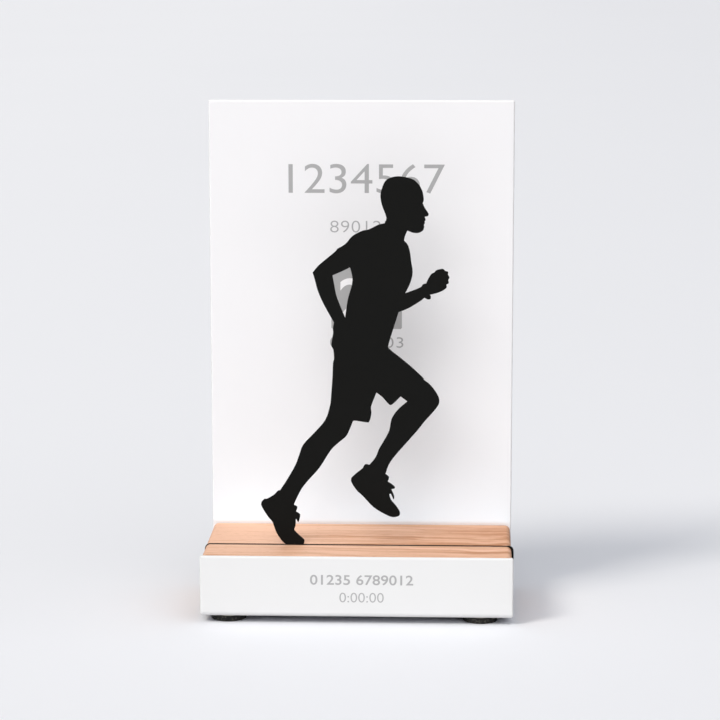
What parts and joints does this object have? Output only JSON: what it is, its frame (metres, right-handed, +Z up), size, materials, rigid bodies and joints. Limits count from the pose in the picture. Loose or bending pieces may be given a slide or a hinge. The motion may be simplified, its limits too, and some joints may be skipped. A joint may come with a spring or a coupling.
{
  "type": "figure trophy",
  "caption": "Figure trophy: black steel running figure clamped between hardwood blocks in a folded white steel sheet that forms back panel, floor and front lip.",
  "frame": {"origin": "middle of the base's footprint, at the underside of the felt pads", "axes": "+Z up, -Y out of the front lip towards the viewer, +X to the viewer's right, the way the figure runs"},
  "size_m": [0.1519, 0.0706, 0.2478],
  "materials": {
    "white_powder_coat": "satin",
    "black_powder_coat": "matt",
    "beech": "satin",
    "dowel_beech": "raw",
    "zinc_plated_steel": "plated",
    "felt": "felted"
  },
  "bodies": {
    "root": {"folded_sheet": "white_powder_coat", "rear_wood_block": "beech", "front_wood_block": "beech", "runner_plate": "black_powder_coat", "dowel_left": "dowel_beech", "dowel_right": "dowel_beech", "clamp_screw_left": "zinc_plated_steel", "clamp_screw_right": "zinc_plated_steel", "floor_screw_front_left": "zinc_plated_steel", "floor_screw_front_right": "zinc_plated_steel", "floor_screw_rear_left": "zinc_plated_steel", "floor_screw_rear_right": "zinc_plated_steel", "felt_pad_front_left": "felt", "felt_pad_front_right": "felt", "felt_pad_rear_left": "felt", "felt_pad_rear_right": "felt"}
  },
  "joints": []
}
